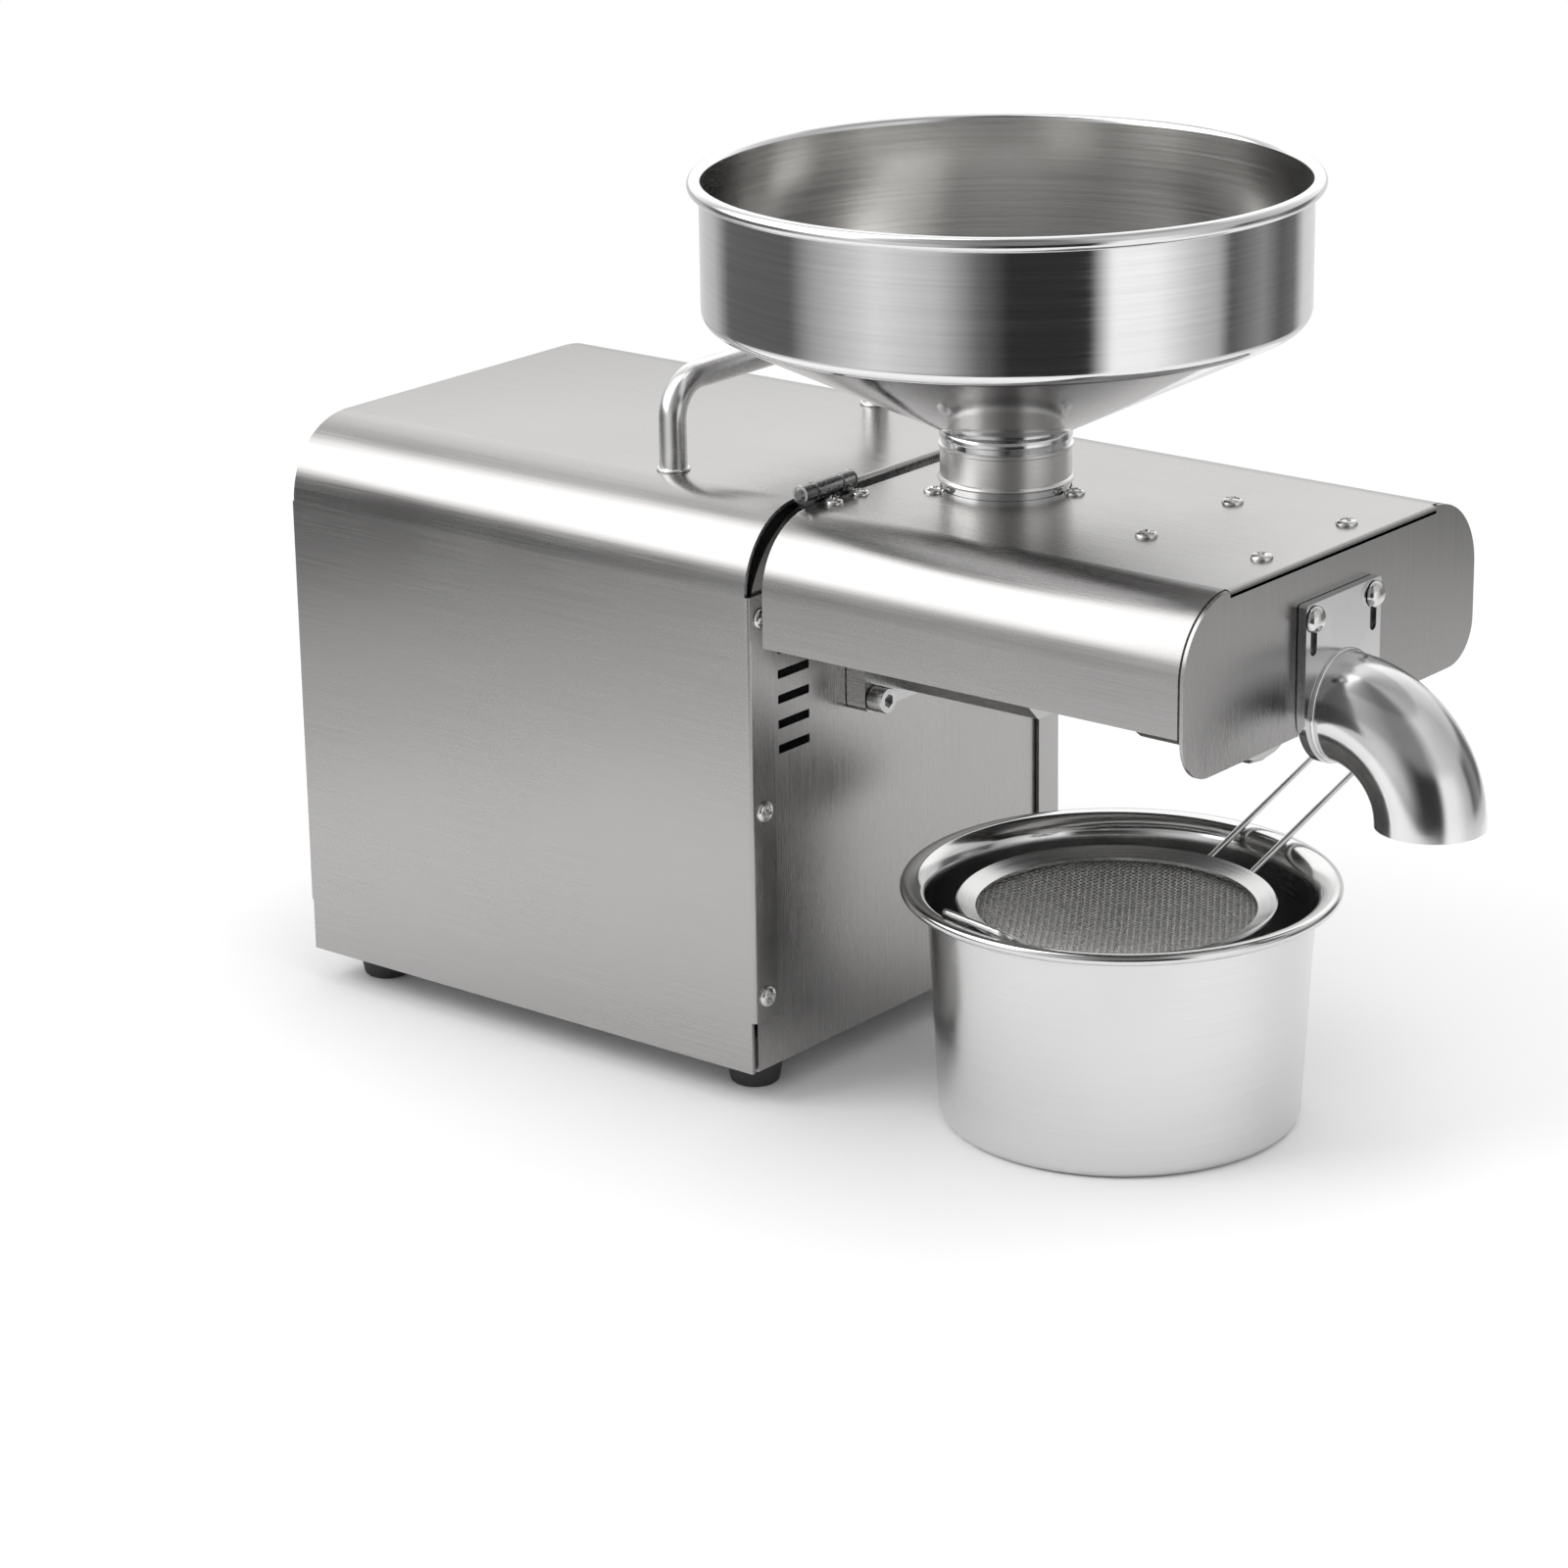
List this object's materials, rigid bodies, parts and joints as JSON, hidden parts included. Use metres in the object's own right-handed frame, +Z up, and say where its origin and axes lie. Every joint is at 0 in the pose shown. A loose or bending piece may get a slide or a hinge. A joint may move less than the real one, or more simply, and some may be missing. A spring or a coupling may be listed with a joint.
{
  "type": "screw oil press",
  "caption": "Table-top screw oil press: boxy motor body with carry handle, hinged head cover, funnel hopper, cake elbow, and an oil pot with a strainer under the press.",
  "frame": {"origin": "on the table, under the middle of the machine's overall box", "axes": "+Z up; -Y the way the press head and cake outlet point; +Y the fan end; +X to the far side of the picture's view"},
  "size_m": [0.2028, 0.4266, 0.3021],
  "materials": {
    "brushed_steel": "brushed stainless sheet, fine parallel grain",
    "polished_steel": "polished stainless, near mirror",
    "satin_steel": "satin stainless",
    "cast_steel": "machined steel, dull",
    "zinc_steel": "bright plated steel",
    "cast_aluminium": "die-cast, matt",
    "gear_steel": "cut steel, oiled",
    "black_rubber": "matt black rubber",
    "black_plastic": "fine satin black",
    "red_plastic": "glossy translucent red",
    "motor_paint": "satin black paint",
    "board_green": "green circuit board"
  },
  "bodies": {
    "body": {"body_cover": "brushed_steel", "front_panel": "brushed_steel", "rear_panel": "brushed_steel", "base_plate": "brushed_steel", "foot_front_left": "black_rubber", "foot_front_right": "black_rubber", "foot_rear_left": "black_rubber", "foot_rear_right": "black_rubber", "carry_handle": "satin_steel", "inlet_socket": "black_plastic", "inlet_line_blade": "zinc_steel", "inlet_earth_blade": "zinc_steel", "inlet_neutral_blade": "zinc_steel", "power_switch": "black_plastic", "direction_switch": "black_plastic", "gearbox_case": "cast_aluminium", "gearbox_cover": "cast_aluminium", "output_bearing": "zinc_steel", "motor_case": "motor_paint", "motor_saddle": "cast_aluminium", "control_board": "board_green", "press_barrel": "cast_steel", "flange_bolt_lower_left": "zinc_steel", "flange_bolt_upper_left": "zinc_steel", "flange_bolt_lower_right": "zinc_steel", "flange_bolt_upper_right": "zinc_steel", "press_cage": "cast_steel", "heater_band": "zinc_steel", "cage_nut": "cast_steel", "cake_nozzle": "cast_steel", "left_hinge_body_leaf": "zinc_steel", "left_hinge_pin": "zinc_steel", "right_hinge_body_leaf": "zinc_steel", "right_hinge_pin": "zinc_steel"},
    "cover": {"head_cover": "brushed_steel", "left_hinge_cover_leaf": "zinc_steel", "right_hinge_cover_leaf": "zinc_steel", "hopper_collar": "satin_steel", "heat_shield": "brushed_steel", "outlet_screw_left": "zinc_steel", "outlet_screw_right": "zinc_steel"},
    "hopper_body": {"hopper": "polished_steel"},
    "elbow": {"outlet_elbow": "polished_steel"},
    "motor_rotor": {"motor_shaft": "gear_steel", "motor_pinion": "gear_steel", "cooling_fan": "black_plastic"},
    "idler": {"idler_shaft": "gear_steel", "first_gear": "gear_steel"},
    "screw_drive": {"output_gear": "gear_steel", "output_shaft": "gear_steel", "press_screw": "cast_steel"},
    "power_button": {"power_rocker": "red_plastic"},
    "direction_button": {"direction_rocker": "black_plastic"},
    "pot": {"oil_pot": "satin_steel"},
    "strainer": {"strainer_rim": "satin_steel", "strainer_mesh": "satin_steel", "strainer_handle": "satin_steel", "strainer_rest": "satin_steel"}
  },
  "joints": [
    {"name": "cover_hinge", "type": "hinge", "parent": "body", "child": "cover", "pos_m": [0, 0.0036, 0.2038], "axis": [-1, 0, 0], "range_deg": [0, 12]},
    {"name": "hopper_lift", "type": "slide", "parent": "cover", "child": "hopper_body", "axis": [0, 0, 1], "range_m": [0, 0.04]},
    {"name": "elbow_slide", "type": "slide", "parent": "cover", "child": "elbow", "axis": [0, 0, 1], "range_m": [0, 0.01]},
    {"name": "motor_spin", "type": "hinge", "parent": "body", "child": "motor_rotor", "pos_m": [0, 0.1, 0.1028], "axis": [0, 1, 0], "continuous": true},
    {"name": "idler_spin", "type": "hinge", "parent": "body", "child": "idler", "pos_m": [0.03536, 0.03, 0.12547], "axis": [0, 1, 0], "continuous": true},
    {"name": "screw_spin", "type": "hinge", "parent": "body", "child": "screw_drive", "pos_m": [0, 0, 0.1533], "axis": [0, 1, 0], "continuous": true},
    {"name": "power_rocker_tilt", "type": "hinge", "parent": "body", "child": "power_button", "pos_m": [-0.051, 0.2066, 0.1688], "axis": [1, 0, 0], "range_deg": [0, 24]},
    {"name": "direction_rocker_tilt", "type": "hinge", "parent": "body", "child": "direction_button", "pos_m": [0.051, 0.2066, 0.1688], "axis": [1, 0, 0], "range_deg": [-12, 12]},
    {"name": "pot_slide", "type": "slide", "parent": "body", "child": "pot", "axis": [-1, 0, 0], "range_m": [0, 0.15]},
    {"name": "strainer_lift", "type": "slide", "parent": "pot", "child": "strainer", "axis": [0, 0, 1], "range_m": [0, 0.015]}
  ],
  "couplings": [
    {"joint": "idler_spin", "follows": "motor_spin", "ratio": -0.16667},
    {"joint": "screw_spin", "follows": "motor_spin", "ratio": 0.033333}
  ]
}
